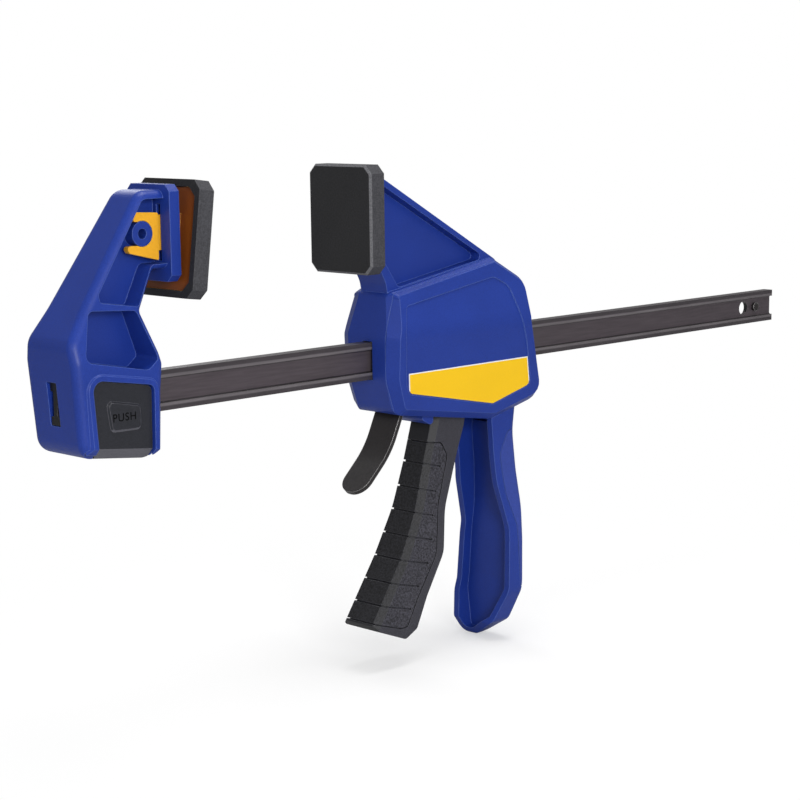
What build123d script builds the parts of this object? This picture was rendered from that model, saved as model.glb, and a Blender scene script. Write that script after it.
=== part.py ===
"""Quick release bar clamp: one-handed clamp with a squeeze trigger and a release lever.

Millimetres, +Z up.  The origin is the centre of the moving jaw's pad face.
+X runs along the bar to its free end, -Y is the side with the cover.
Outlines are given as (x, height above the bar's centre line, corner radius).
"""

import os
from math import cos, radians, sin, tan

from build123d import *

os.makedirs("parts", exist_ok=True)

ARC_STEPS = 4            # flats that stand for a rounded corner in a bevel

# ---------------------------------------------------------------- driving dimensions

# Clamp
THROAT = 68.0            # bar centre line to pad centre
BOSS_REACH = 121.6       # fixed jaw's boss axis in front of the moving pad face
PAD_TILT = 7.3           # degrees, fixed pad at rest, top leaning towards the other pad

# Bar
BAR_HEIGHT = 17.8
BAR_THICK = 6.0
BAR_WEB = 2.4
BAR_FLANGE = 3.5
BAR_ROOT = 0.9           # rounding where flange meets web
BAR_LENGTH = 508.5
BAR_BEHIND_BOSS = 41.4   # bar's front end in front of the boss axis
BAR_HOLE = 7.8
BAR_HOLE_INSET = 26.3
STOP_SPACING = 10.5      # free-end hole to stop pin
STOP_D = 5.0

# Pads
PAD_WIDTH = 42.0
PAD_HEIGHT = 50.6
PAD_THICK = 8.8
PAD_CORNER = 4.0
PAD_EDGE = 1.0           # bevel around the clamping face
PAD_RIM = 3.2            # rim around the pocket in the pad's back
SWIVEL_TO_FACE = 28.0    # boss axis to fixed pad face
SWIVEL_DROP = 0.6        # fixed pad centre below the boss axis

# Jaw plates behind the pads
PLATE_WIDTH = 29.0
PLATE_HEIGHT = 41.0
PLATE_THICK = 5.2
PLATE_CORNER = 2.8
PLATE_RISE = 0.2         # plate centre above pad centre
PLATE_IN_PAD = 2.6       # depth of the moving jaw's plate inside its pad
ARM_HALF = 9.0           # half width of the moving jaw's arm
ARM_WEB = 6.0            # web between the side pockets of both jaws

# Fixed jaw
BOSS_D = 10.6
BOSS_HOLE = 4.4
BOSS_SPAN = 17.6         # over both boss ends
JAW_FRONT_OF_PLATE = 15.6   # boss axis to the plate's front face
JAW_EDGE = 4.0           # rounding of the spine edges

# Pad carrier
CARRIER_HOOK = 3.0       # thickness of each C-hook
CARRIER_NECK = 1.8       # thickness of the neck through the jaw plate
CARRIER_PLATE = 2.4
CARRIER_SUNK = 1.6       # carrier plate below the rim of the pad's back
CARRIER_NECK_HEIGHT = 15.0
CARRIER_GAP = 0.2        # hook to boss and web

# Release button
BUTTON_FACE = 16.9       # outer face of the button from the middle plane
BUTTON_PLATE = 3.4
BUTTON_FLOOR = 10.2      # half width of the jaw's core behind the button
BUTTON_WEB = 3.2         # strap under the bar
BUTTON_ARM = 2.4         # far arm that carries the latch pin
BUTTON_GAP = 0.4
BUTTON_RIM_RISE = 1.8     # the jaw's rim around the button stands above its face
BUTTON_RIM_WIDTH = 2.2
THUMB_PAD_RISE = 0.8
LATCH_D = 7.0

# Housing and cover
WALL = 3.0
COVER_SPLIT = 12.4       # joint plane between housing and cover
COVER_SKIN = 2.6
PANEL_RECESS = 0.5
LABEL_THICK = 0.3
LIP = 1.5
LOWER_BEVEL = 4.5        # jaw and button, along their lower near edge
BLOCK_BEVELS = ((3.4, 6.2), (3.2, 3.4), (2.6, 2.6), (1.9, 2.8))  # front, bottom, rear, top
TRIGGER_BEVELS = ((2.9, 2.9),) * 4

# Trigger and drive
TRIGGER_PIN_X = 72.0
TRIGGER_PIN_RISE = 17.0
TRIGGER_PIN_D = 5.0
TRIGGER_CHEEK = 4.2      # half gap of the fork around the bar
TRIGGER_HALF = 9.4       # half width inside the housing
CAM_R = 7.8
CAM_AHEAD = 6.0          # cam centre behind the pivot
GRIP_SKIN = 1.6          # soft overmould
GRIP_GROOVE = 0.6        # line left open around the overmould
GROOVE_WIDTH = 0.9
GROOVE_DEPTH = 1.1
DRIVE_PLATE = 2.5
DRIVE_WIDTH = 18.0
DRIVE_HEIGHT = 28.0
DRIVE_GAP = 0.2          # bar in the drive plates, and plates to the cam
DRIVE_SPRING_D = 21.2    # mean coil diameter
DRIVE_WIRE = 1.5
DRIVE_TURNS = 5

# Release lever
LEVER_WIDTH = 17.2
LEVER_THICK = 2.2
LEVER_X = 36.0           # fulcrum
LEVER_RISE = 22.0
LEVER_TILT = 6.0         # degrees, locked position
LEVER_DROP = 26.4        # first bend under the bar's centre line
LEVER_END = 8.0          # rounding of the thumb end
BRAKE_SPRING_D = 6.0
BRAKE_WIRE = 0.8
BRAKE_TURNS = 5
BRAKE_SPRING_DROP = 15.0

# Handle
HANDLE_WALL = 3.4
HANDLE_BACK_R = 4.0
HANDLE_SKIN = 1.8        # soft back panel
HANDLE_GROOVE = 0.35     # line left open around the back panel

# Fits
BAR_SLIP = 0.4           # bar in housing, jaw socket and the window of the tilted lever
PIN_FIT = 0.05           # trigger on its pin
PRESS_FIT = 0.02
SEAT = 0.1               # pads and lip in their seats
SWING = 0.8              # lever and trigger in the housing's openings

# ---------------------------------------------------------------- derived places

BAR_Z = -THROAT
BAR_FRONT = -(BOSS_REACH + BAR_BEHIND_BOSS)
BAR_END = BAR_FRONT + BAR_LENGTH
FRONT_HOLE_X = BAR_FRONT + BAR_HOLE_INSET
FREE_HOLE_X = BAR_END - BAR_HOLE_INSET
STOP_X = FREE_HOLE_X + STOP_SPACING
BOSS_RISE = THROAT + 0.5
JAW_X = -BOSS_REACH
LATCH_TRAVEL = BAR_WEB + BUTTON_GAP
PLATE_MID = THROAT + PLATE_RISE
DRIVE_X = TRIGGER_PIN_X + CAM_AHEAD + CAM_R + DRIVE_GAP


def side_plane(y=0.0):
    """Upright plane along the bar: local x, local y = height above the bar's centre line."""
    return Plane(origin=(0, y, BAR_Z), x_dir=(1, 0, 0), z_dir=(0, -1, 0))


def end_plane(x):
    """Plane square to the bar: local x = +Y, local y = height above the bar's centre line."""
    return Plane(origin=(x, 0, BAR_Z), x_dir=(0, 1, 0), z_dir=(1, 0, 0))


def top_plane(height):
    """Level plane at a height above the bar's centre line."""
    return Plane(origin=(0, 0, BAR_Z + height))


def ring(points):
    """Closed line through (x, height, corner radius) points."""
    return FilletPolyline(
        *[(x, h) for x, h, _ in points], radius=[r for _, _, r in points], close=True
    )


def both_sides(points):
    """Half outline (half width, height, corner radius), top to bottom, mirrored into a closed one."""
    return points + [(-w, h, r) for w, h, r in reversed(points)]


def coil(mean_d, wire, turns, length, plane):
    """Compression spring whose axis is the plane's normal, from its origin."""
    rise = length - wire
    foot = plane.offset(wire / 2).origin
    with BuildPart() as spring:
        with BuildLine() as path:
            Helix(pitch=rise / turns, height=rise, radius=mean_d / 2, center=foot, direction=plane.z_dir)
        start = path.line @ 0
        with BuildSketch(Plane(origin=start, z_dir=path.line % 0)):
            Circle(wire / 2)
        sweep(path=path.line, is_frenet=True)
    return spring.part


def prism(outline, ends, inset=0.0):
    """Side outline cut to an end outline; with an inset, the same shape that much inside."""
    with BuildPart() as block:
        with BuildSketch(side_plane()):
            with BuildLine():
                ring(outline)
            make_face()
            if inset:
                offset(amount=-inset, kind=Kind.INTERSECTION)
        extrude(amount=PAD_WIDTH, both=True)
        with BuildSketch(end_plane(0)):
            with BuildLine():
                ring(ends)
            make_face()
            if inset:
                offset(amount=-inset, kind=Kind.INTERSECTION)
        extrude(amount=BAR_LENGTH, both=True, mode=Mode.INTERSECT)
    return block.part


def slab(outline, near, far, inside=0.0):
    """Side outline, moved inwards if asked, as a straight prism between two distances from the middle."""
    with BuildPart() as piece:
        with BuildSketch(side_plane(near)):
            with BuildLine():
                ring(outline)
            make_face()
            if inside:
                offset(amount=-inside, kind=Kind.INTERSECTION)
        extrude(amount=near - far)
    return piece.part


def outline_edges(part):
    """Edges where a flank meets the narrow faces that run round the outline."""
    found = []
    for edge in part.edges():
        leans = [
            abs(face.normal_at(face.center()).Y)
            for face in part.faces()
            if any(edge.is_same(other) for other in face.edges())
        ]
        if len(leans) == 2 and min(leans) < 0.01 and max(leans) > 0.5:
            found.append(edge)
    return ShapeList(found)


def edges_between(edges, low, high):
    """Edges whose middle lies in the box from low to high, given as (x, |y|, height above bar)."""
    found = []
    for edge in edges:
        mid = edge @ 0.5
        place = (mid.X, abs(mid.Y), mid.Z - BAR_Z)
        if all(a <= p <= b for a, p, b in zip(low, place, high)):
            found.append(edge)
    return ShapeList(found)


def half_width(ends, height):
    """Half width of an end outline at a height, along its straight runs."""
    half = ends[: len(ends) // 2]
    for (upper, top, _), (lower, bottom, _) in zip(half, half[1:]):
        if bottom <= height <= top:
            return lower + (upper - lower) * (height - bottom) / (top - bottom)
    return half[-1][0] if height < half[-1][1] else half[0][0]


def stations(points):
    """Places and directions along an open side line of (x, height, corner radius) points."""
    with BuildLine() as line:
        places = [(x, height) for x, height, _ in points]
        if len(points) == 2:
            Polyline(*places)
        else:
            FilletPolyline(*places, radius=[radius for _, _, radius in points[1:-1]])
    wire = line.wire()
    at = 0.0
    found = []
    for edge in wire.order_edges():
        steps = 1 if edge.geom_type == GeomType.LINE else ARC_STEPS
        for step in range(steps):
            reach = at + edge.length * step / steps
            place = wire.position_at(reach, PositionMode.LENGTH)
            found.append((place, wire.tangent_at(reach, PositionMode.LENGTH)))
        at += edge.length
    found.append((wire @ 1, wire % 1))
    return found


def bevel_cutter(points, ends, bevels, side, depth=0.0):
    """Wedge that bevels the edge between a flank and the narrow faces along a side line.

    The part lies on the line's left.  The bevels are (along the flank, across the narrow face)
    for faces that look forwards, down, back and up, and a depth moves the cut into the part.
    """
    with BuildPart() as wedge:
        for place, along in stations(points):
            inwards = Vector(-along.Y, along.X)
            looks = (max(inwards.X, 0), max(inwards.Y, 0), max(-inwards.X, 0), max(-inwards.Y, 0))
            flank_leg, face_leg = [
                sum(look**2 * bevel[leg] for look, bevel in zip(looks, bevels)) for leg in (0, 1)
            ]
            corner = Vector(half_width(ends, place.Y), 0)
            on_flank = Vector(half_width(ends, place.Y + inwards.Y * flank_leg), flank_leg)
            on_face = corner - Vector(face_leg, 0)
            run = on_flank - on_face
            into = Vector(-run.Y, run.X).normalized() * depth
            outside = corner + Vector(face_leg, -flank_leg)
            section = Plane(
                origin=(place.X, 0, BAR_Z + place.Y),
                x_dir=(0, side, 0),
                z_dir=Vector(0, side, 0).cross(Vector(inwards.X, 0, inwards.Y)),
            )
            with BuildSketch(section):
                with BuildLine():
                    Polyline(on_flank + run * 0.6 + into, on_face - run * 0.6 + into, outside, close=True)
                make_face()
        loft(ruled=True)
    return wedge.part


def bevelled(solid, ends, runs, bevels, depth=0.0):
    """The solid with its flank edges bevelled on both sides along each side line."""
    with BuildPart() as piece:
        add(solid)
        for points in runs:
            for side in (-1, 1):
                add(bevel_cutter(points, ends, bevels, side, depth), mode=Mode.SUBTRACT)
    return piece.part


def beyond(start, end, extra):
    """Point with no rounding on the line from start to end, past its end."""
    first, last = Vector(*start[:2]), Vector(*end[:2])
    place = last + (last - first).normalized() * extra
    return (place.X, place.Y, 0)


def halfway(start, end):
    """Point with no rounding in the middle between two outline points."""
    return ((start[0] + end[0]) / 2, (start[1] + end[1]) / 2, 0)


# ---------------------------------------------------------------- bar


def bar_solid(start, length, clearance=0.0):
    """I-section of the bar, grown by a clearance, as a straight run along X."""
    recess = (BAR_THICK - BAR_WEB) / 2
    recess_mid = BAR_WEB / 2 + clearance + recess
    with BuildPart() as run:
        with BuildSketch(end_plane(start)):
            Rectangle(BAR_THICK + 2 * clearance, BAR_HEIGHT + 2 * clearance)
            with Locations((recess_mid, 0), (-recess_mid, 0)):
                recess_height = BAR_HEIGHT - 2 * BAR_FLANGE - 2 * clearance
                RectangleRounded(2 * recess, recess_height, BAR_ROOT, mode=Mode.SUBTRACT)
        extrude(amount=length)
    return run.part


with BuildPart() as bar:
    add(bar_solid(BAR_FRONT, BAR_LENGTH))
    with BuildSketch(side_plane()):
        with Locations((FRONT_HOLE_X, 0), (FREE_HOLE_X, 0)):
            Circle(BAR_HOLE / 2)
        with Locations((STOP_X, 0)):
            Circle(STOP_D / 2)
    extrude(amount=BAR_THICK, both=True, mode=Mode.SUBTRACT)
bar.part.label = "bar"

# Stop pin next to the free end: the ribs of the housing's rear guide meet it at full opening.
with BuildPart() as bar_stop:
    with BuildSketch(side_plane()):
        with Locations((STOP_X, 0)):
            Circle(STOP_D / 2 - PRESS_FIT)
    extrude(amount=BAR_THICK / 2, both=True)
bar_stop.part.label = "bar_stop"

# ---------------------------------------------------------------- fixed jaw

JAW_SIDE = [
    (JAW_X + 12.0, THROAT + 18.5, 0),
    (JAW_X - 1.6, THROAT + 18.5, 8),
    (JAW_X - 44.4, 25.8, 9),
    (JAW_X - 40.6, -21.8, 7.5),
    (JAW_X - 2.4, -26.3, 6),
    (JAW_X + 0.8, -6.0, 12),
    (JAW_X + 2.6, 14.4, 5),
    (JAW_X - 5.2, THROAT - 31.8, 3),
    (JAW_X + 3.4, THROAT - 14.6, 3),
    (JAW_X + 12.0, THROAT - 14.6, 0),
]
JAW_ENDS = both_sides(
    [(10.0, THROAT + 20, 0), (12.4, THROAT - 13, 60), (13.8, 37, 25), (18.2, 18, 12), (17.2, -30, 0)]
)
UPPER_POCKET = [
    (JAW_X + 14.0, THROAT + 15.0, 0),
    (JAW_X - 0.4, THROAT + 15.0, 3.5),
    (JAW_X - 26.9, 45.0, 2),
    (JAW_X - 26.4, 41.6, 1.5),
    (JAW_X - 6.5, 38.6, 2),
    (JAW_X + 1.9, THROAT - 12.4, 3),
    (JAW_X + 14.0, THROAT - 12.4, 0),
]
LOWER_POCKET = [
    (JAW_X - 32.6, 38.8, 3),
    (JAW_X - 38.2, 18.4, 3),
    (JAW_X - 6.2, 12.2, 3.5),
    (JAW_X - 0.8, 16.6, 2),
    (JAW_X - 8.4, 37.2, 3),
]
# The jaw's bottom slopes down towards the clamping side.
JAW_BOTTOM = [JAW_SIDE[3], JAW_SIDE[4]]
BOTTOM_SLOPE = (JAW_BOTTOM[0][1] - JAW_BOTTOM[1][1]) / (JAW_BOTTOM[1][0] - JAW_BOTTOM[0][0])
BOTTOM_RUN = [beyond(*reversed(JAW_BOTTOM), 12.0), beyond(*JAW_BOTTOM, 12.0)]
JAW_BEVELS = ((LOWER_BEVEL, LOWER_BEVEL),) * 4


def above_bottom(x, rise):
    """Height of a point that lies above the jaw's sloping bottom."""
    return JAW_BOTTOM[0][1] - (x - JAW_BOTTOM[0][0]) * BOTTOM_SLOPE + rise


BUTTON_OUTLINE = [
    (JAW_X - 35.3, 10.6, 4),
    (JAW_X - 32.4, -30.0, 0),
    (JAW_X - 5.0, -30.0, 0),
    (JAW_X - 4.3, 5.4, 3),
]
BUTTON_RECESS = [
    (JAW_X - 35.3 - BUTTON_GAP, 10.6 + BUTTON_GAP, 4 + BUTTON_GAP),
    (JAW_X - 32.4 - BUTTON_GAP, -30.0, 0),
    (JAW_X - 5.0 + BUTTON_GAP, -30.0, 0),
    (JAW_X - 4.3 + BUTTON_GAP, 5.4 + BUTTON_GAP, 3 + BUTTON_GAP),
]
FAR_CAVITY = BUTTON_FLOOR + BUTTON_GAP + BUTTON_ARM + LATCH_TRAVEL + BUTTON_GAP
STRAP_ENDS = (JAW_X - 32.4, JAW_X - 5.0)
STRAP = [
    (STRAP_ENDS[0], above_bottom(STRAP_ENDS[0], BUTTON_WEB), 0),
    (STRAP_ENDS[0], -40.0, 0),
    (STRAP_ENDS[1], -40.0, 0),
    (STRAP_ENDS[1], above_bottom(STRAP_ENDS[1], BUTTON_WEB), 0),
]
STRAP_WAY = [
    (STRAP_ENDS[0] - BUTTON_GAP, above_bottom(STRAP_ENDS[0], BUTTON_WEB + BUTTON_GAP), 0),
    (STRAP_ENDS[0] - BUTTON_GAP, -40.0, 0),
    (STRAP_ENDS[1] + BUTTON_GAP, -40.0, 0),
    (STRAP_ENDS[1] + BUTTON_GAP, above_bottom(STRAP_ENDS[1], BUTTON_WEB + BUTTON_GAP), 0),
]
THUMB_PAD = [
    (JAW_X - 28.2, 1.7, 2.5),
    (JAW_X - 26.0, -12.1, 2.5),
    (JAW_X - 10.3, -12.4, 2.5),
    (JAW_X - 10.3, -1.8, 2.5),
]
BUTTON_ARM_WIDTH = 12.0
BUTTON_ARM_TOP = 5.5
WINDOW_Y = BOSS_SPAN / 2 - CARRIER_HOOK + CARRIER_NECK / 2
WINDOW_HEIGHT = 24.0
BUTTON_SPRING_DROP = 15.0
BUTTON_SPRING_X = FRONT_HOLE_X - 3.0
BUTTON_SPRING_SEAT = 6.0
BUTTON_SPRING_D = 6.0

jaw_block = prism(JAW_SIDE, JAW_ENDS)
upper_spine = edges_between(jaw_block.edges(), (JAW_X - 60, 8, 53), (JAW_X, 30, THROAT + 18.4))
lower_spine = edges_between(jaw_block.edges(), (JAW_X - 60, 8, -12), (JAW_X - 20, 30, 53))
jaw_block = jaw_block.fillet(JAW_EDGE, upper_spine + lower_spine)

# Rim that stands around the button, with a sloping outer face.
RIM_FACE = BUTTON_FACE + BUTTON_RIM_RISE
RIM_ROOT = BUTTON_FACE - 1.0
with BuildPart() as button_rim:
    with BuildSketch(side_plane(-RIM_ROOT)):
        with BuildLine():
            ring(BUTTON_RECESS)
        make_face()
        offset(amount=BUTTON_RIM_WIDTH + RIM_FACE - RIM_ROOT)
    extrude(amount=RIM_FACE - RIM_ROOT, taper=45)
    add(slab(JAW_SIDE, -RIM_ROOT, -PAD_WIDTH), mode=Mode.INTERSECT)

with BuildPart() as front_jaw:
    add(bevelled(jaw_block, JAW_ENDS, [BOTTOM_RUN], JAW_BEVELS))
    add(bevelled(button_rim.part, both_sides([(RIM_FACE, 0, 0)]), [BOTTOM_RUN], JAW_BEVELS))
    for side in (-1, 1):
        for pocket in (UPPER_POCKET, LOWER_POCKET):
            with BuildSketch(side_plane(side * ARM_WEB / 2)):
                with BuildLine():
                    ring(pocket)
                make_face()
            extrude(amount=-side * PAD_WIDTH, mode=Mode.SUBTRACT)
    # plate behind the pad
    with BuildSketch(end_plane(JAW_X + JAW_FRONT_OF_PLATE)):
        with Locations((0, PLATE_MID)):
            Rectangle(PLATE_WIDTH, PLATE_HEIGHT)
        chamfer(vertices(), PLATE_CORNER)
    extrude(amount=-PLATE_THICK)
    # core around the bar, behind the button, and bosses for the pad carrier
    with BuildSketch(side_plane()):
        with Locations((JAW_X, BOSS_RISE)):
            Circle(BOSS_D / 2)
    extrude(amount=BOSS_SPAN / 2, both=True)
    with BuildSketch(side_plane()):
        with Locations((JAW_X, BOSS_RISE)):
            Circle(BOSS_HOLE / 2)
    extrude(amount=BOSS_SPAN, both=True, mode=Mode.SUBTRACT)
    # windows for the carrier's necks, beside the arm's web
    with BuildSketch(end_plane(JAW_X + JAW_FRONT_OF_PLATE + 1)):
        with Locations((WINDOW_Y, BOSS_RISE), (-WINDOW_Y, BOSS_RISE)):
            Rectangle(CARRIER_NECK + 4 * CARRIER_GAP, WINDOW_HEIGHT)
    extrude(amount=-PLATE_THICK - 2, mode=Mode.SUBTRACT)
    # button recess on the near side, strap way under the bar, arm cavity on the far side
    with BuildSketch(side_plane(-BUTTON_FLOOR)):
        with BuildLine():
            ring(BUTTON_RECESS)
        make_face()
    extrude(amount=PAD_WIDTH, mode=Mode.SUBTRACT)
    with BuildSketch(side_plane(FAR_CAVITY)):
        with BuildLine():
            ring(STRAP_WAY)
        make_face()
    extrude(amount=PAD_WIDTH, mode=Mode.SUBTRACT)
    with BuildSketch(side_plane(FAR_CAVITY)):
        with Locations((FRONT_HOLE_X, BUTTON_ARM_TOP + BUTTON_GAP)):
            Rectangle(BUTTON_ARM_WIDTH + 2 * BUTTON_GAP, 32.0, align=(Align.CENTER, Align.MAX))
    extrude(amount=FAR_CAVITY - BUTTON_FLOOR, mode=Mode.SUBTRACT)
    # bar socket, latch pin's way and the button spring's seat
    with BuildSketch(end_plane(BAR_FRONT)):
        Rectangle(BAR_THICK + 2 * BAR_SLIP, BAR_HEIGHT + 2 * BAR_SLIP)
    extrude(amount=BAR_LENGTH, both=True, mode=Mode.SUBTRACT)
    with BuildSketch(side_plane()):
        with Locations((FRONT_HOLE_X, 0)):
            Circle(LATCH_D / 2 + BUTTON_GAP / 2)
    extrude(amount=-PAD_WIDTH / 2 + 8, mode=Mode.SUBTRACT)
    with BuildSketch(side_plane(-BUTTON_SPRING_SEAT)):
        with Locations((BUTTON_SPRING_X, -BUTTON_SPRING_DROP)):
            Circle(BUTTON_SPRING_D / 2 + 1)
    extrude(amount=PAD_WIDTH, mode=Mode.SUBTRACT)
front_jaw.part.label = "front_jaw"

# Button: near plate, strap under the bar, far arm carrying the latch pin.
with BuildPart() as release_button:
    with BuildSketch(side_plane(-BUTTON_FACE + BUTTON_PLATE)):
        with BuildLine():
            ring(BUTTON_OUTLINE)
        make_face()
    extrude(amount=BUTTON_PLATE)
    with BuildSketch(side_plane(BUTTON_FLOOR + BUTTON_GAP + BUTTON_ARM)):
        with BuildLine():
            ring(STRAP)
        make_face()
    extrude(amount=BUTTON_FLOOR + BUTTON_GAP + BUTTON_ARM + BUTTON_FACE)
    with BuildSketch(side_plane(BUTTON_FLOOR + BUTTON_GAP + BUTTON_ARM)):
        with Locations((FRONT_HOLE_X, (BUTTON_ARM_TOP - 24.0) / 2)):
            Rectangle(BUTTON_ARM_WIDTH, BUTTON_ARM_TOP + 24.0)
    extrude(amount=BUTTON_ARM)
    # flush with the jaw's bottom, near edge bevelled
    add(slab(JAW_SIDE, PAD_WIDTH, -PAD_WIDTH), mode=Mode.INTERSECT)
    add(bevel_cutter(BOTTOM_RUN, both_sides([(BUTTON_FACE, 0, 0)]), JAW_BEVELS, -1), mode=Mode.SUBTRACT)
    # thumb pad: raised panel on the near face
    with BuildSketch(side_plane(-BUTTON_FACE)):
        with BuildLine():
            ring(THUMB_PAD)
        make_face()
    extrude(amount=THUMB_PAD_RISE, taper=45)
    with BuildSketch(side_plane()):
        with Locations((FRONT_HOLE_X, 0)):
            Circle(LATCH_D / 2)
    extrude(amount=-PAD_WIDTH, mode=Mode.SUBTRACT)
release_button.part.label = "release_button"

with BuildPart() as latch_pin:
    with BuildSketch(side_plane(BUTTON_FLOOR + BUTTON_GAP + BUTTON_ARM)):
        with Locations((FRONT_HOLE_X, 0)):
            Circle(LATCH_D / 2 - PRESS_FIT)
    extrude(amount=BUTTON_FLOOR + BUTTON_GAP + BUTTON_ARM + BAR_WEB / 2)
latch_pin.part.label = "latch_pin"

button_spring_plane = Plane(
    origin=(BUTTON_SPRING_X, -BUTTON_SPRING_SEAT - SEAT, BAR_Z - BUTTON_SPRING_DROP), z_dir=(0, -1, 0)
)
button_spring_length = BUTTON_FACE - BUTTON_PLATE - BUTTON_SPRING_SEAT - 2 * SEAT
button_spring = coil(BUTTON_SPRING_D, BRAKE_WIRE, BRAKE_TURNS, button_spring_length, button_spring_plane)
button_spring.label = "button_spring"

# ---------------------------------------------------------------- fixed pad and its carrier

TILT = radians(PAD_TILT)
pad_axis = Vector(cos(TILT), 0, -sin(TILT))


def tilted_plane(ahead):
    """Plane square to the tilted pad, ahead of the boss axis: local x = +Y, local y = up the pad."""
    boss = Vector(JAW_X, 0, BAR_Z + BOSS_RISE)
    up = Vector(sin(TILT), 0, cos(TILT))
    return Plane(origin=boss + pad_axis * ahead - up * SWIVEL_DROP, x_dir=(0, 1, 0), z_dir=pad_axis)


def octagon(width, height, corner):
    """Rectangle with bevelled corners in the current sketch."""
    Rectangle(width, height)
    chamfer(vertices(), corner)


HOOK = [
    (JAW_X - 3.1, BOSS_RISE + 9.1, 0.8),
    (JAW_X + 8.6, BOSS_RISE + 8.5, 0.8),
    (JAW_X + 8.4, BOSS_RISE - 11.6, 0.6),
    (JAW_X - 6.9, BOSS_RISE - 7.9, 1.2),
    (JAW_X - 8.5, BOSS_RISE - 5.4, 1.2),
    (JAW_X - 6.0, BOSS_RISE - 4.9, 0.8),
    (JAW_X, BOSS_RISE - 5.0, 0),
    (JAW_X, BOSS_RISE + 5.0, 0),
    (JAW_X - 4.8, BOSS_RISE + 5.2, 0.8),
]
CARRIER_SEAT = SWIVEL_TO_FACE - PAD_THICK + CARRIER_SUNK
NECK_START = 7.0
NECK_END = CARRIER_SEAT + CARRIER_PLATE / 2
with BuildPart() as front_pad_carrier:
    for side in (-1, 1):
        with BuildSketch(side_plane(side * (BOSS_SPAN / 2 - CARRIER_HOOK))):
            with BuildLine():
                ring(HOOK)
            make_face()
            with Locations((JAW_X, BOSS_RISE)):
                Circle(BOSS_D / 2 + CARRIER_GAP, mode=Mode.SUBTRACT)
        extrude(amount=-side * CARRIER_HOOK)
        # neck through the jaw plate's window
        with BuildSketch(side_plane(side * (WINDOW_Y - CARRIER_NECK / 2))):
            with Locations((JAW_X + NECK_START, BOSS_RISE)):
                Rectangle(NECK_END - NECK_START, CARRIER_NECK_HEIGHT, align=(Align.MIN, Align.CENTER))
        extrude(amount=-side * CARRIER_NECK)
    with BuildSketch(tilted_plane(CARRIER_SEAT)):
        octagon(PAD_WIDTH - 2 * PAD_RIM, PAD_HEIGHT - 2 * PAD_RIM, PAD_CORNER)
    extrude(amount=CARRIER_PLATE)
front_pad_carrier.part.label = "front_pad_carrier"

with BuildPart() as front_pad:
    with BuildSketch(tilted_plane(SWIVEL_TO_FACE - PAD_THICK)):
        octagon(PAD_WIDTH, PAD_HEIGHT, PAD_CORNER)
    extrude(amount=PAD_THICK)
    chamfer(front_pad.faces().sort_by(Axis.X)[-1].edges(), PAD_EDGE)
    with BuildSketch(tilted_plane(SWIVEL_TO_FACE - PAD_THICK)):
        octagon(PAD_WIDTH - 2 * PAD_RIM + 2 * SEAT, PAD_HEIGHT - 2 * PAD_RIM + 2 * SEAT, PAD_CORNER)
    extrude(amount=CARRIER_SUNK + CARRIER_PLATE + SEAT, mode=Mode.SUBTRACT)
front_pad.part.label = "front_pad"

with BuildPart() as body_pad:
    with BuildSketch(end_plane(0)):
        with Locations((0, THROAT)):
            octagon(PAD_WIDTH, PAD_HEIGHT, PAD_CORNER)
    extrude(amount=PAD_THICK)
    chamfer(body_pad.faces().sort_by(Axis.X)[0].edges(), PAD_EDGE)
    with BuildSketch(end_plane(PAD_THICK)):
        with Locations((0, PLATE_MID)):
            octagon(PLATE_WIDTH + 2 * SEAT, PLATE_HEIGHT + 2 * SEAT, PLATE_CORNER)
    extrude(amount=-PLATE_IN_PAD - SEAT, mode=Mode.SUBTRACT)
body_pad.part.label = "body_pad"

# ---------------------------------------------------------------- housing

BLOCK_SIDE = [
    (20.6, 32.6, 4),
    (16.4, 11.0, 14),
    (16.4, -9.0, 14),
    (21.6, -25.8, 6),
    (88.3, -35.6, 8),
    (104.6, -31.8, 8),
    (124.9, -27.0, 9),
    (115.1, 12.6, 20),
    (114.6, 32.2, 9),
    (93.0, 44.7, 4),
]
BLOCK_ENDS = both_sides([(9.0, THROAT, 0), (14.4, 34.0, 30), (19.6, 14.0, 30), (17.0, -36.0, 0)])
ARM_SIDE = [
    (PAD_THICK - PLATE_IN_PAD + 1, THROAT + 20.4, 0),
    (16.0, THROAT + 20.4, 3),
    (100.4, 41.6, 8),
    (96.0, 20.0, 0),
    (24.0, 20.0, 0),
    (20.8, 37.0, 10),
    (13.4, THROAT - 17.0, 6),
    (PAD_THICK - PLATE_IN_PAD + 1, THROAT - 17.0, 0),
]
ARM_POCKET = [
    (14.8, 54.6, 0),
    (29.0, 34.6, 3),
    (89.7, 44.8, 2),
    (14.8, THROAT + 17.6, 0),
]
INSET_OUTLINE = [
    (27.0, 26.2, 2.5),
    (23.8, 13.6, 8),
    (24.6, -10.6, 8),
    (26.4, -15.9, 3),
    (86.2, -27.6, 3),
    (113.8, -20.4, 3),
    (110.0, 2.0, 20),
    (100.4, 30.6, 8),
    (90.6, 35.6, 8),
]
LABEL_OUTLINE = [
    (26.2, -5.9, 0),
    (26.8, -15.4, 3),
    (86.1, -27.1, 1.5),
    (113.2, -20.2, 3),
    (110.9, -5.9, 0),
]

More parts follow.
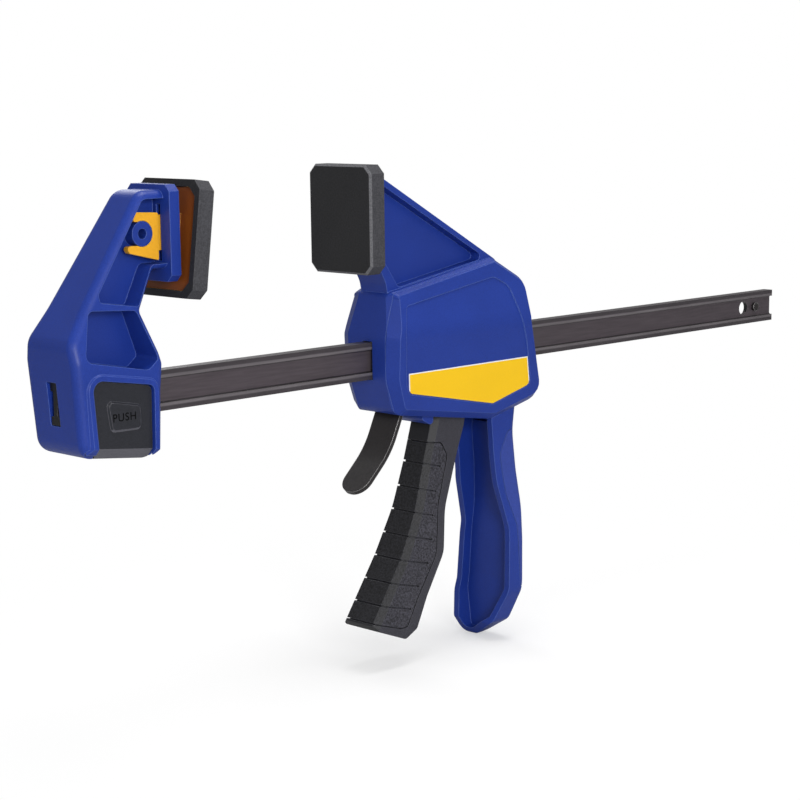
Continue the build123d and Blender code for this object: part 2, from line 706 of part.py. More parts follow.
# Handle: side outline and end outline; the far side reaches a little lower than the near one.
HANDLE_SIDE = [
    (88.0, -20.0, 0),
    (90.0, -52.0, 20),
    (92.0, -70.0, 20),
    (98.4, -93.0, 12),
    (96.4, -124.0, 10),
    (90.6, -143.0, 2),
    (96.0, -153.0, 3),
    (104.5, -149.0, 6),
    (109.0, -122.0, 30),
    (110.8, -84.0, 60),
    (106.6, -44.0, 30),
    (110.5, -20.0, 0),
]
HANDLE_ENDS = [
    (-13.4, -18.0, 0),
    (-14.2, -64.0, 60),
    (-17.6, -100.0, 60),
    (-18.6, -126.0, 10),
    (-12.0, -142.0, 5),
    (4.0, -152.0, 8),
    (13.0, -152.0, 6),
    (18.6, -130.0, 10),
    (17.6, -100.0, 60),
    (14.2, -64.0, 60),
    (13.4, -18.0, 0),
]
TROUGH_SIDE = [
    (60.0, -20.0, 0),
    (60.0, -160.0, 0),
    (100.5, -160.0, 0),
    (105.6, -122.0, 30),
    (107.4, -84.0, 60),
    (103.4, -44.0, 30),
    (105.0, -20.0, 0),
]
HANDLE_GRIP_OUTLINE = [
    (120.0, -40.0, 0),
    (101.0, -43.0, 4),
    (94.6, -54.0, 10),
    (97.8, -76.0, 20),
    (104.2, -92.0, 10),
    (105.0, -124.0, 2),
    (120.0, -130.0, 0),
]

bottom_middle = halfway(BLOCK_SIDE[3], BLOCK_SIDE[4])
top_middle = halfway(BLOCK_SIDE[-1], BLOCK_SIDE[0])
block_runs = [
    [top_middle, *BLOCK_SIDE[:4], bottom_middle],
    [bottom_middle, *BLOCK_SIDE[4:], top_middle],
]
block = bevelled(prism(BLOCK_SIDE, BLOCK_ENDS), BLOCK_ENDS, block_runs, BLOCK_BEVELS)
inner_block = prism(BLOCK_SIDE, BLOCK_ENDS, COVER_SKIN)
recess_floor = prism(BLOCK_SIDE, BLOCK_ENDS, PANEL_RECESS)
label_face = prism(BLOCK_SIDE, BLOCK_ENDS, PANEL_RECESS - LABEL_THICK)
handle_block = prism(HANDLE_SIDE, HANDLE_ENDS)
handle_back_edges = edges_between(outline_edges(handle_block), (99.0, 8, -143), (125, 30, -21))
handle_block = handle_block.fillet(HANDLE_BACK_R, handle_back_edges)
trough = prism(TROUGH_SIDE, HANDLE_ENDS, HANDLE_WALL)
handle_core = prism(HANDLE_SIDE, HANDLE_ENDS, HANDLE_SKIN)

with BuildPart() as panel_recess:
    add(slab(INSET_OUTLINE, PAD_WIDTH, -PAD_WIDTH))
    add(recess_floor, mode=Mode.SUBTRACT)

with BuildPart() as labels:
    add(slab(LABEL_OUTLINE, PAD_WIDTH, -PAD_WIDTH))
    add(label_face, mode=Mode.INTERSECT)
    add(recess_floor, mode=Mode.SUBTRACT)


# Soft back panel: the skin of the handle's back.
with BuildPart() as handle_skin:
    add(handle_block)
    add(slab(HANDLE_GRIP_OUTLINE, PAD_WIDTH, -PAD_WIDTH), mode=Mode.INTERSECT)
    add(handle_core, mode=Mode.SUBTRACT)


PIN_BOSS_D = 11.0
PIN_SEAT = 4.0
DIVIDER_X = 46.5
DIVIDER_THICK = 3.5
SPRING_ROOM = 19.0
REAR_WALL_IN = DRIVE_X + 2 * DRIVE_PLATE + DRIVE_GAP + SPRING_ROOM
GUIDE_TOP = 21.0
GUIDE_BOTTOM = -23.0
GUIDE_THICK = 3.6
FULCRUM_RIB = (8.0, 10.0)
LEVER_WAY = (25.5, 39.6)     # opening for the lever in the housing's bottom
TRIGGER_WAY_END = 104.0
BOTTOM_WAYS_TOP = -16.0

chamber = slab(BLOCK_SIDE, COVER_SPLIT, -COVER_SPLIT, WALL)

with BuildPart() as cover_hollow:
    add(inner_block)
    add(slab(BLOCK_SIDE, 0, -PAD_WIDTH, WALL + 2 * LIP), mode=Mode.INTERSECT)
    with BuildSketch(side_plane(-COVER_SPLIT)):
        Rectangle(BAR_LENGTH, BAR_LENGTH)
    extrude(amount=-PAD_WIDTH - COVER_SPLIT, mode=Mode.SUBTRACT)
    with BuildSketch(side_plane(-COVER_SPLIT)):
        with Locations((TRIGGER_PIN_X, TRIGGER_PIN_RISE)):
            Circle(PIN_BOSS_D / 2)
    extrude(amount=PAD_WIDTH, mode=Mode.SUBTRACT)

with BuildPart() as near_flank:
    add(block)
    with BuildSketch(side_plane(-COVER_SPLIT)):
        Rectangle(BAR_LENGTH, BAR_LENGTH)
    extrude(amount=-PAD_WIDTH - COVER_SPLIT, mode=Mode.SUBTRACT)

# Side cover: near flank of the chamber, hollow, with a lip that enters the housing.
with BuildPart() as side_cover:
    add(near_flank.part)
    add(panel_recess.part, mode=Mode.SUBTRACT)
    add(slab(BLOCK_SIDE, LIP - COVER_SPLIT, -COVER_SPLIT, WALL + SEAT))
    add(slab(BLOCK_SIDE, LIP - COVER_SPLIT, -COVER_SPLIT, WALL + 2 * LIP), mode=Mode.SUBTRACT)
    add(cover_hollow.part, mode=Mode.SUBTRACT)
    with BuildSketch(side_plane(-COVER_SPLIT)):
        with Locations((TRIGGER_PIN_X, TRIGGER_PIN_RISE)):
            Circle(TRIGGER_PIN_D / 2 + PRESS_FIT)
    extrude(amount=PIN_SEAT, mode=Mode.SUBTRACT)
side_cover.part.label = "side_cover"

near_label, far_label = labels.part.solids().sort_by(Axis.Y)
near_label.label = "label_near"
far_label.label = "label_far"

# Housing: moving jaw, chamber and handle in one moulding.
BAR_OPENING = REAR_WALL_IN - 1
bar_way = bar_solid(BAR_OPENING, 40.0, BAR_SLIP)
FULCRUM_TOP = LEVER_THICK / 2 + BAR_SLIP / 2
with BuildPart() as body_housing:
    add(block)
    add(panel_recess.part, mode=Mode.SUBTRACT)
    # arm of the moving jaw, with its plate inside the pad
    with BuildSketch(side_plane()):
        with BuildLine():
            ring(ARM_SIDE)
        make_face()
    extrude(amount=ARM_HALF, both=True)
    with BuildSketch(end_plane(PAD_THICK - PLATE_IN_PAD)):
        with Locations((0, PLATE_MID)):
            octagon(PLATE_WIDTH, PLATE_HEIGHT, PLATE_CORNER)
    extrude(amount=PLATE_THICK + 1)
    for side in (-1, 1):
        with BuildSketch(side_plane(side * ARM_WEB / 2)):
            with BuildLine():
                ring(ARM_POCKET)
            make_face()
        extrude(amount=-side * (ARM_HALF + 1), mode=Mode.SUBTRACT)
    # handle, open towards the trigger
    add(handle_block)
    add(trough, mode=Mode.SUBTRACT)
    add(chamber, mode=Mode.SUBTRACT)
    add(near_flank.part, mode=Mode.SUBTRACT)
    # divider between the lever and the trigger, down to the nose under the body
    with BuildSketch(side_plane(COVER_SPLIT)):
        with BuildLine():
            ring(
                [
                    (DIVIDER_X, 34.0, 0),
                    (DIVIDER_X, -24.0, 0),
                    (41.6, -30.5, 2),
                    (DIVIDER_X + DIVIDER_THICK, -35.0, 2),
                    (DIVIDER_X + DIVIDER_THICK, 34.0, 0),
                ]
            )
        make_face()
    extrude(amount=2 * COVER_SPLIT - LIP - SEAT)
    # rear guide of the bar
    with BuildSketch(side_plane(COVER_SPLIT)):
        with Locations((REAR_WALL_IN, GUIDE_BOTTOM)):
            Rectangle(GUIDE_THICK, GUIDE_TOP - GUIDE_BOTTOM, align=(Align.MIN, Align.MIN))
    extrude(amount=2 * COVER_SPLIT - LIP - SEAT)
    # fulcrum rib of the release lever
    with BuildSketch(side_plane(COVER_SPLIT)):
        with Locations((LEVER_X, LEVER_RISE)):
            Rectangle(*FULCRUM_RIB, align=(Align.CENTER, Align.MIN))
        with Locations((LEVER_X, LEVER_RISE)):
            Circle(FULCRUM_TOP, mode=Mode.SUBTRACT)
    extrude(amount=2 * COVER_SPLIT - LIP - SEAT)
    # pivot seat on the far side
    with BuildSketch(side_plane(COVER_SPLIT)):
        with Locations((TRIGGER_PIN_X, TRIGGER_PIN_RISE)):
            Circle(TRIGGER_PIN_D / 2 + PRESS_FIT)
    extrude(amount=-PIN_SEAT, mode=Mode.SUBTRACT)
    # openings for lever and trigger
    with BuildSketch(top_plane(BOTTOM_WAYS_TOP)):
        with Locations((LEVER_WAY[0], 0)):
            Rectangle(LEVER_WAY[1] - LEVER_WAY[0], LEVER_WIDTH + 2 * SWING, align=(Align.MIN, Align.CENTER))
    extrude(amount=-14.6, mode=Mode.SUBTRACT)
    with BuildSketch(top_plane(BOTTOM_WAYS_TOP)):
        trigger_way_start = DIVIDER_X + DIVIDER_THICK
        with Locations((trigger_way_start, 0)):
            trigger_way = TRIGGER_WAY_END - trigger_way_start
            Rectangle(trigger_way, 2 * (TRIGGER_HALF + SWING), align=(Align.MIN, Align.CENTER))
    extrude(amount=-24.0, mode=Mode.SUBTRACT)
    # bar openings: I-shaped in the rear guide, plain in front of it and behind it
    with BuildSketch(end_plane(0), end_plane(REAR_WALL_IN + GUIDE_THICK)):
        Rectangle(BAR_THICK + 2 * BAR_SLIP, BAR_HEIGHT + 2 * BAR_SLIP)
    extrude(amount=BAR_OPENING, mode=Mode.SUBTRACT)
    add(bar_way, mode=Mode.SUBTRACT)
    # back panel's seat
    add(handle_skin.part, mode=Mode.SUBTRACT)
body_housing.part.label = "body_housing"

RIB_PITCH = 9.6
RIB_COUNT = 4
RIB_GAP = 4.4
RIB_DEPTH = 0.7
RIB_TOP = -97.4          # first gap's upper edge
RIB_REACH = 108.5        # the gaps stay behind this place
rib_floor = prism(HANDLE_SIDE, HANDLE_ENDS, RIB_DEPTH)
with BuildPart() as rib_gaps:
    with BuildSketch(end_plane(RIB_REACH)):
        with Locations(*[(0, RIB_TOP - RIB_GAP / 2 - RIB_PITCH * rib) for rib in range(RIB_COUNT)]):
            Rectangle(PAD_WIDTH, RIB_GAP)
    extrude(amount=10)
    add(rib_floor, mode=Mode.SUBTRACT)

with BuildPart() as handle_grip:
    add(handle_skin.part)
    add(slab(HANDLE_GRIP_OUTLINE, PAD_WIDTH, -PAD_WIDTH, HANDLE_GROOVE), mode=Mode.INTERSECT)
    add(rib_gaps.part, mode=Mode.SUBTRACT)
handle_grip.part.label = "handle_grip"

# ---------------------------------------------------------------- trigger

TRIGGER_SIDE = [
    (TRIGGER_PIN_X - 8.0, TRIGGER_PIN_RISE + 8.0, 7.5),
    (58.0, -15.0, 10),
    (46.2, -54.5, 30),
    (39.6, -76.0, 60),
    (28.6, -97.5, 60),
    (8.0, -127.8, 1),
    (11.0, -131.2, 1),
    (28.0, -138.0, 3),
    (36.0, -134.0, 3),
    (43.2, -119.0, 20),
    (55.4, -99.0, 14),
    (57.6, -77.0, 30),
    (73.6, -36.0, 20),
    (76.0, -8.0, 0),
    (TRIGGER_PIN_X + 8.0, 6.0, 0),
    (TRIGGER_PIN_X + 8.0, TRIGGER_PIN_RISE + 8.0, 7.5),
]
TRIGGER_ENDS = both_sides(
    [
        (TRIGGER_HALF, 40.0, 0),
        (TRIGGER_HALF, -50.0, 20),
        (11.9, -97.0, 60),
        (12.2, -140.0, 0),
    ]
)
TRIGGER_GRIP_OUTLINE = [
    (20.0, -41.0, 0),
    (57.0, -43.6, 4),
    (61.4, -51.0, 4),
    (53.2, -75.0, 20),
    (50.6, -99.0, 12),
    (37.0, -119.0, 14),
    (29.4, -132.4, 3),
    (24.4, -132.2, 2),
    (0.0, -124.6, 0),
]
GROOVE_ZONE = [
    (20.0, -41.0, 0),
    (54.0, -43.6, 4),
    (57.6, -51.0, 4),
    (49.8, -75.0, 20),
    (47.2, -99.0, 12),
    (33.6, -119.0, 14),
    (29.4, -130.0, 3),
    (0.0, -124.6, 0),
]
FORK_SLOT = [
    (40.0, 60.0, 0),
    (40.0, -9.8, 0),
    (84.0, -22.6, 0),
    (110.0, -22.6, 0),
    (110.0, 60.0, 0),
]
CAM_RELIEF = [
    (TRIGGER_PIN_X + 8.4, 8.0, 0),
    (76.4, -8.0, 2),
    (76.4, -20.0, 0),
    (120.0, -20.0, 0),
    (120.0, 8.0, 0),
]
trigger_block = prism(TRIGGER_SIDE, TRIGGER_ENDS)
trigger_run = [[*TRIGGER_SIDE[1:5], beyond(TRIGGER_SIDE[4], TRIGGER_SIDE[5], 4.0)]]
trigger_block = bevelled(trigger_block, TRIGGER_ENDS, trigger_run, TRIGGER_BEVELS)
trigger_core = prism(TRIGGER_SIDE, TRIGGER_ENDS, GRIP_SKIN)
trigger_core = bevelled(trigger_core, TRIGGER_ENDS, trigger_run, TRIGGER_BEVELS, GRIP_SKIN)
groove_floor = prism(TRIGGER_SIDE, TRIGGER_ENDS, GROOVE_DEPTH)
groove_floor = bevelled(groove_floor, TRIGGER_ENDS, trigger_run, TRIGGER_BEVELS, GROOVE_DEPTH)

# Soft grip: skin of the trigger inside the grip's outline, with cross grooves.
with BuildPart() as trigger_skin:
    add(trigger_block)
    add(slab(TRIGGER_GRIP_OUTLINE, PAD_WIDTH, -PAD_WIDTH), mode=Mode.INTERSECT)
    add(trigger_core, mode=Mode.SUBTRACT)

# Groove places on the side, at the edge of the front face, and their slope.
GROOVE_LINE = [
    (51.0, -54.6),
    (47.4, -66.6),
    (43.2, -77.8),
    (38.6, -89.0),
    (33.0, -99.8),
    (26.8, -110.4),
    (20.4, -120.6),
]
GROOVE_LENGTH = 26.0
GROOVE_SLOPE = -14.0
with BuildPart() as grooves:
    with BuildSketch(side_plane()):
        with Locations(*GROOVE_LINE):
            Rectangle(GROOVE_LENGTH, GROOVE_WIDTH, rotation=GROOVE_SLOPE)
    extrude(amount=PAD_WIDTH, both=True)
    add(slab(GROOVE_ZONE, PAD_WIDTH, -PAD_WIDTH), mode=Mode.INTERSECT)
    add(groove_floor, mode=Mode.SUBTRACT)

with BuildPart() as trigger_grip:
    add(trigger_skin.part)
    add(slab(TRIGGER_GRIP_OUTLINE, PAD_WIDTH, -PAD_WIDTH, GRIP_GROOVE), mode=Mode.INTERSECT)
    add(grooves.part, mode=Mode.SUBTRACT)
trigger_grip.part.label = "trigger_grip"

with BuildPart() as trigger:
    add(trigger_block)
    add(trigger_skin.part, mode=Mode.SUBTRACT)
    add(slab(FORK_SLOT, TRIGGER_CHEEK, -TRIGGER_CHEEK), mode=Mode.SUBTRACT)
    add(slab(CAM_RELIEF, PAD_WIDTH, -PAD_WIDTH), mode=Mode.SUBTRACT)
    with BuildSketch(side_plane()):
        with Locations((TRIGGER_PIN_X + CAM_AHEAD, 0)):
            Circle(CAM_R)
    extrude(amount=TRIGGER_HALF, both=True)
    add(slab(FORK_SLOT, TRIGGER_CHEEK, -TRIGGER_CHEEK), mode=Mode.SUBTRACT)
    with BuildSketch(side_plane()):
        with Locations((TRIGGER_PIN_X, TRIGGER_PIN_RISE)):
            Circle(TRIGGER_PIN_D / 2 + PIN_FIT)
    extrude(amount=PAD_WIDTH, both=True, mode=Mode.SUBTRACT)
trigger.part.label = "trigger"

PIN_HALF = COVER_SPLIT + PIN_SEAT - SEAT
with BuildPart() as trigger_pin:
    with BuildSketch(side_plane()):
        with Locations((TRIGGER_PIN_X, TRIGGER_PIN_RISE)):
            Circle(TRIGGER_PIN_D / 2)
    extrude(amount=PIN_HALF, both=True)
trigger_pin.part.label = "trigger_pin"

# ---------------------------------------------------------------- drive plates and springs


def bar_plate(start):
    """Upright steel plate with a close rectangular hole for the bar."""
    with BuildPart() as plate:
        with BuildSketch(end_plane(start)):
            Rectangle(DRIVE_WIDTH, DRIVE_HEIGHT)
            Rectangle(BAR_THICK + 2 * DRIVE_GAP, BAR_HEIGHT + 2 * DRIVE_GAP, mode=Mode.SUBTRACT)
        extrude(amount=DRIVE_PLATE)
        fillet(plate.edges().filter_by(Axis.X).group_by(SortBy.DISTANCE)[-1], 2)
    return plate.part


REAR_PLATE_X = DRIVE_X + DRIVE_PLATE + DRIVE_GAP / 2
drive_plate_front = bar_plate(DRIVE_X)
drive_plate_front.label = "drive_plate_front"
drive_plate_rear = bar_plate(REAR_PLATE_X)
drive_plate_rear.label = "drive_plate_rear"

drive_spring_start = REAR_PLATE_X + DRIVE_PLATE + SEAT
drive_spring_plane = Plane(origin=(drive_spring_start, 0, BAR_Z), z_dir=(1, 0, 0))
drive_spring_length = REAR_WALL_IN - drive_spring_start - SEAT
drive_spring = coil(DRIVE_SPRING_D, DRIVE_WIRE, DRIVE_TURNS, drive_spring_length, drive_spring_plane)
drive_spring.label = "drive_spring"

# ---------------------------------------------------------------- release lever

LEAN = tan(radians(LEVER_TILT))
LEVER_PATH = [
    (LEVER_X, LEVER_RISE),
    (LEVER_X - (LEVER_RISE + LEVER_DROP) * LEAN, -LEVER_DROP),
    (22.6, -44.3),
    (3.5, -62.7),
]
LEVER_BENDS = (14.0, 45.0)
with BuildPart() as brake_lever:
    with BuildSketch(side_plane(LEVER_WIDTH / 2)):
        with BuildLine():
            FilletPolyline(*LEVER_PATH, radius=LEVER_BENDS)
        trace(line_width=LEVER_THICK)
        with Locations(LEVER_PATH[0]):
            Circle(LEVER_THICK / 2)
    extrude(amount=LEVER_WIDTH)
    # rounded thumb end
    short_edges = brake_lever.edges().filter_by(lambda edge: abs((edge % 0.5).Y) < 0.1)
    low = (LEVER_PATH[-1][0] - LEVER_THICK, LEVER_WIDTH / 2 - 1, LEVER_PATH[-1][1] - LEVER_THICK)
    high = (LEVER_PATH[-1][0] + LEVER_THICK, LEVER_WIDTH / 2 + 1, LEVER_PATH[-1][1] + LEVER_THICK)
    fillet(edges_between(short_edges, low, high), LEVER_END)
    with BuildSketch(end_plane(0)):
        Rectangle(BAR_THICK + 2 * BAR_SLIP, BAR_HEIGHT + 2 * BAR_SLIP)
    extrude(amount=60, mode=Mode.SUBTRACT)
brake_lever.part.label = "brake_lever"

BRAKE_SPRING_START = LEVER_X - (LEVER_RISE + BRAKE_SPRING_DROP) * LEAN + LEVER_THICK / 2 + 4 * SEAT
brake_spring_plane = Plane(origin=(BRAKE_SPRING_START, 0, BAR_Z - BRAKE_SPRING_DROP), z_dir=(1, 0, 0))
brake_spring_length = DIVIDER_X - SEAT - BRAKE_SPRING_START
brake_spring = coil(BRAKE_SPRING_D, BRAKE_WIRE, BRAKE_TURNS, brake_spring_length, brake_spring_plane)
brake_spring.label = "brake_spring"

# ---------------------------------------------------------------- files

built = [
    bar.part,
    bar_stop.part,
    front_jaw.part,
    release_button.part,
    latch_pin.part,
    button_spring,
    front_pad_carrier.part,
    front_pad.part,
    body_pad.part,
    side_cover.part,
    near_label,
    far_label,
    body_housing.part,
    handle_grip.part,
    trigger.part,
    trigger_grip.part,
    trigger_pin.part,
    drive_plate_front,
    drive_plate_rear,
    drive_spring,
    brake_lever.part,
    brake_spring,
]
for piece in built:
    export_step(piece, f"parts/{piece.label}.step")
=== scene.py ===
from math import cos, radians, sin

import bmesh
import bpy
from mathutils import Matrix, Vector


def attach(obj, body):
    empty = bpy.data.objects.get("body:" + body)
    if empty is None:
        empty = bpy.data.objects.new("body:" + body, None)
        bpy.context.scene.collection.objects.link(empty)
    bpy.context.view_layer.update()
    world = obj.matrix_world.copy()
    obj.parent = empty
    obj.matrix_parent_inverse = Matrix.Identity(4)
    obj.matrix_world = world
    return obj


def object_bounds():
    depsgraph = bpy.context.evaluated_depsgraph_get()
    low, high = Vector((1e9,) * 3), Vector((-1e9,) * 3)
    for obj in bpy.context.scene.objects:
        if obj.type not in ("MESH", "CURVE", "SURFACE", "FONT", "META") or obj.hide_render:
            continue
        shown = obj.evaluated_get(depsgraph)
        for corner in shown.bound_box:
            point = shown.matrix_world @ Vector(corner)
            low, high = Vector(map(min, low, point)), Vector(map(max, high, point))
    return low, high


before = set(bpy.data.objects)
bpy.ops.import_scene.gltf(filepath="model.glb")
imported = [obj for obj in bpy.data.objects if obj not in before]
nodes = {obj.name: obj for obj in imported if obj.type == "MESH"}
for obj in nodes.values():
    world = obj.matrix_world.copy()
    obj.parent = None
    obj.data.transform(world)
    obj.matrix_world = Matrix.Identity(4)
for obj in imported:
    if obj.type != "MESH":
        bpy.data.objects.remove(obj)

cad_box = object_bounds()
MM = 0.001

# ---------------------------------------------------------------- stage
# Pale studio floor under the handle's foot, one even white world and five soft boxes.
# A long lens looks a little down on the clamp from the fixed jaw's side.

CAMERA_PLACE = (-0.6412, -0.6883, 0.0589)
CAMERA_AZIMUTH = -45.72
CAMERA_ELEVATION = 10.67
CAMERA_ROLL = -0.52
CAMERA_LENS = 90.2
CAMERA_SHIFT = (-0.0484, 0.0843)

scene = bpy.context.scene
scene.view_settings.view_transform = "Standard"
camera_data = bpy.data.cameras.new("camera")
camera_data.lens = CAMERA_LENS
camera_data.shift_x, camera_data.shift_y = CAMERA_SHIFT
camera = bpy.data.objects.new("camera", camera_data)
scene.collection.objects.link(camera)
camera.matrix_world = (
    Matrix.Translation(CAMERA_PLACE)
    @ Matrix.Rotation(radians(CAMERA_AZIMUTH), 4, "Z")
    @ Matrix.Rotation(radians(90 - CAMERA_ELEVATION), 4, "X")
    @ Matrix.Rotation(radians(CAMERA_ROLL), 4, "Z")
)
scene.camera = camera

FLOOR_RADIUS = 8.0
FLOOR_SIDES = 96
FLOOR_COLOUR = (0.97, 0.97, 0.97, 1)   # what the camera sees
FLOOR_BOUNCE = (0.5, 0.5, 0.5, 1)      # what lights the clamp from below
FOOT_PLACE = (0.09, 0.0)               # under the handle
SHADOW_REACH = (0.04, 0.30)            # the shadow fades out between these distances from it
SHADOW_LIFT = 0.45                     # how far it is faded where it starts

floor_mesh = bpy.data.meshes.new("floor")
bm = bmesh.new()
bmesh.ops.create_circle(bm, cap_ends=True, segments=FLOOR_SIDES, radius=FLOOR_RADIUS)
bmesh.ops.translate(bm, verts=bm.verts, vec=(0, 0, cad_box[0].z))
bm.to_mesh(floor_mesh)
bm.free()
floor = bpy.data.objects.new("floor", floor_mesh)
scene.collection.objects.link(floor)


def new_material(name):
    """A material with an empty tree, and its output node."""
    material = bpy.data.materials.new(name)
    material.use_nodes = True
    tree = material.node_tree
    tree.nodes.clear()
    return material, tree, tree.nodes.new("ShaderNodeOutputMaterial")


def put(tree, kind, inputs=None, **settings):
    """Adds a shader node. Each input takes a plain value or another node's output."""
    node = tree.nodes.new("ShaderNode" + kind)
    for key, value in settings.items():
        setattr(node, key, value)
    for key, value in (inputs or {}).items():
        if isinstance(value, bpy.types.NodeSocket):
            tree.links.new(value, node.inputs[key])
        else:
            node.inputs[key].default_value = value
    return node


def maths(tree, operation, *values):
    """A Math node's result, from plain numbers and other nodes' outputs."""
    return put(tree, "Math", dict(enumerate(values)), operation=operation).outputs["Value"]


def ramp(tree, value, span, low, high):
    """A number that goes from low to high while a value crosses a span."""
    ends = {"From Min": span[0], "From Max": span[1], "To Min": low, "To Max": high}
    return put(tree, "MapRange", {"Value": value, **ends}).outputs["Result"]


# Floor: matt paper near the clamp that keeps its shadow, plain white further out.
floor_paint, tree, output = new_material("floor_paper")
to_camera = put(tree, "LightPath").outputs["Is Camera Ray"]
shown = put(tree, "Mix", {"Factor": to_camera, "A": FLOOR_BOUNCE, "B": FLOOR_COLOUR}, data_type="RGBA")
paper = put(tree, "BsdfDiffuse", {"Color": shown.outputs["Result"]})
glow = put(tree, "Emission")
place = put(tree, "TexCoord").outputs["Object"]
reach = put(tree, "VectorMath", {0: place, 1: (*FOOT_PLACE, cad_box[0].z)}, operation="DISTANCE")
fade = ramp(tree, reach.outputs["Value"], SHADOW_REACH, SHADOW_LIFT, 1.0)
share = maths(tree, "MULTIPLY", fade, to_camera)
mix = put(tree, "MixShader", {"Fac": share, 1: paper.outputs["BSDF"], 2: glow.outputs["Emission"]})
tree.links.new(mix.outputs["Shader"], output.inputs["Surface"])
floor_mesh.materials.append(floor_paint)

# World: even light on the clamp, and plain white where the camera looks past it.
WORLD_STRENGTH = 0.36
world = bpy.data.worlds.new("studio")
scene.world = world
world.use_nodes = True
tree = world.node_tree
tree.nodes.clear()
rays = put(tree, "LightPath")
seen = maths(tree, "MAXIMUM", rays.outputs["Is Camera Ray"], rays.outputs["Is Transmission Ray"])
strength = ramp(tree, seen, (0.0, 1.0), WORLD_STRENGTH, 1.0)
sky = put(tree, "Background", {"Color": (1, 1, 1, 1), "Strength": strength})
put(tree, "OutputWorld", {"Surface": sky.outputs["Background"]})

# Each soft box: name, place, side in metres and watts. All are turned to one point.
SOFT_BOXES = [
    ("top_box", (0.25, -0.1, 1.15), 0.7, 10.0),
    ("side_box", (0.2, -1.25, 0.45), 0.6, 1.2),
    ("front_box", (-1.15, -0.45, 0.3), 0.6, 1.8),
    ("camera_box", (-0.55, -1.1, 0.22), 0.4, 8.5),
    ("back_box", (0.5, 1.2, 0.6), 0.6, 4.0),
]
AIM = Vector((0.05, 0, -0.07))         # inside the housing
for name, place, size, watts in SOFT_BOXES:
    light_data = bpy.data.lights.new(name, "AREA")
    light_data.size = size
    light_data.energy = watts
    light = bpy.data.objects.new(name, light_data)
    light.location = place
    light.rotation_euler = (AIM - Vector(place)).to_track_quat("-Z", "Y").to_euler()
    scene.collection.objects.link(light)

# ---------------------------------------------------------------- nylon mouldings
# Jaw, housing and cover: glass-filled nylon, injection moulded with a fine sparked
# texture, matt in the flats, with a painted highlight along the edges.


def new_group(name, inputs, outputs):
    """An empty shader node group, with its input and output nodes. Inputs are numbers."""
    group = bpy.data.node_groups.new(name, "ShaderNodeTree")
    for key, value in inputs.items():
        socket = group.interface.new_socket(key, in_out="INPUT", socket_type="NodeSocketFloat")
        socket.default_value = value
    for key, kind in outputs.items():
        group.interface.new_socket(key, in_out="OUTPUT", socket_type="NodeSocket" + kind)
    return group, group.nodes.new("NodeGroupInput"), group.nodes.new("NodeGroupOutput")


NOISE_SPAN = (0.3, 0.7)                # nearly all of a noise's values
PIT_NOISE = {"Detail": 3.0, "Roughness": 0.6}
DRIFT_NOISE = {"Scale": 45.0, "Detail": 4.0}

# Grain: pits of a sparked mould, as height, and a slow drift of the colour, as tone.
grain, source, sink = new_group(
    "moulded_grain",
    {"Pits per mm": 2.2, "Drift": 0.05},
    {"Height": "Float", "Tone": "Float"},
)
place = put(grain, "TexCoord").outputs["Object"]
pits_per_metre = maths(grain, "MULTIPLY", source.outputs["Pits per mm"], 1 / MM)
pits = put(grain, "TexNoise", {"Vector": place, "Scale": pits_per_metre, **PIT_NOISE})
drift = put(grain, "TexNoise", {"Vector": place, **DRIFT_NOISE})
darkest = maths(grain, "SUBTRACT", 1.0, source.outputs["Drift"])
palest = maths(grain, "ADD", 1.0, source.outputs["Drift"])
tone = ramp(grain, drift.outputs["Fac"], NOISE_SPAN, darkest, palest)
grain.links.new(pits.outputs["Fac"], sink.inputs["Height"])
grain.links.new(tone, sink.inputs["Tone"])

# Edge: the small radius that every moulded or stamped edge has, and a mask of it, where a highlight is
# painted.
EDGE_SAMPLES = 6
edge, source, sink = new_group(
    "highlit_edge",
    {"Radius": 0.4 * MM, "Sharpness": 7.0},
    {"Normal": "Vector", "Mask": "Float"},
)
rounded = put(edge, "Bevel", {"Radius": source.outputs["Radius"]}, samples=EDGE_SAMPLES).outputs["Normal"]
flat = put(edge, "NewGeometry").outputs["Normal"]
match = put(edge, "VectorMath", {0: rounded, 1: flat}, operation="DOT_PRODUCT").outputs["Value"]
bent = maths(edge, "SUBTRACT", 1.0, match)
mask = put(edge, "Math", {0: bent, 1: source.outputs["Sharpness"]}, operation="MULTIPLY", use_clamp=True)
edge.links.new(rounded, sink.inputs["Normal"])
edge.links.new(mask.outputs["Value"], sink.inputs["Mask"])


def highlight_edges(tree, shader, colour, tone, edge_highlight, radius, highlight_strength):
    """Colours a surface, with a painted highlight in a paler colour along its edges. Gives their rounded
    normal.
    """
    corners = put(tree, "Group", {"Radius": radius * MM}, node_tree=edge)
    share = maths(tree, "MULTIPLY", corners.outputs["Mask"], highlight_strength)
    toned = put(tree, "VectorMath", {0: colour, "Scale": tone}, operation="SCALE", name="plain_colour")
    blend = {"Factor": share, "A": toned.outputs["Vector"], "B": (*edge_highlight, 1)}
    highlighted = put(tree, "Mix", blend, data_type="RGBA")
    tree.links.new(highlighted.outputs["Result"], shader.inputs["Base Color"])
    return corners.outputs["Normal"]


def follow_grain(tree, shader, height, smoothest, roughest, strength, depth, normal):
    """Lets gloss and bumps follow the height of a surface's grain."""
    rough = ramp(tree, height, NOISE_SPAN, smoothest, roughest)
    bump = put(tree, "Bump", {"Strength": strength, "Distance": depth, "Height": height, "Normal": normal})
    tree.links.new(rough, shader.inputs["Roughness"])
    tree.links.new(bump.outputs["Normal"], shader.inputs["Normal"])


FLECK_SPAN = (0.35, 0.65)              # grain heights from the darkest to the palest fleck
MOULD_GLOSS_SPREAD = 0.06
MOULD_BUMP = 0.6


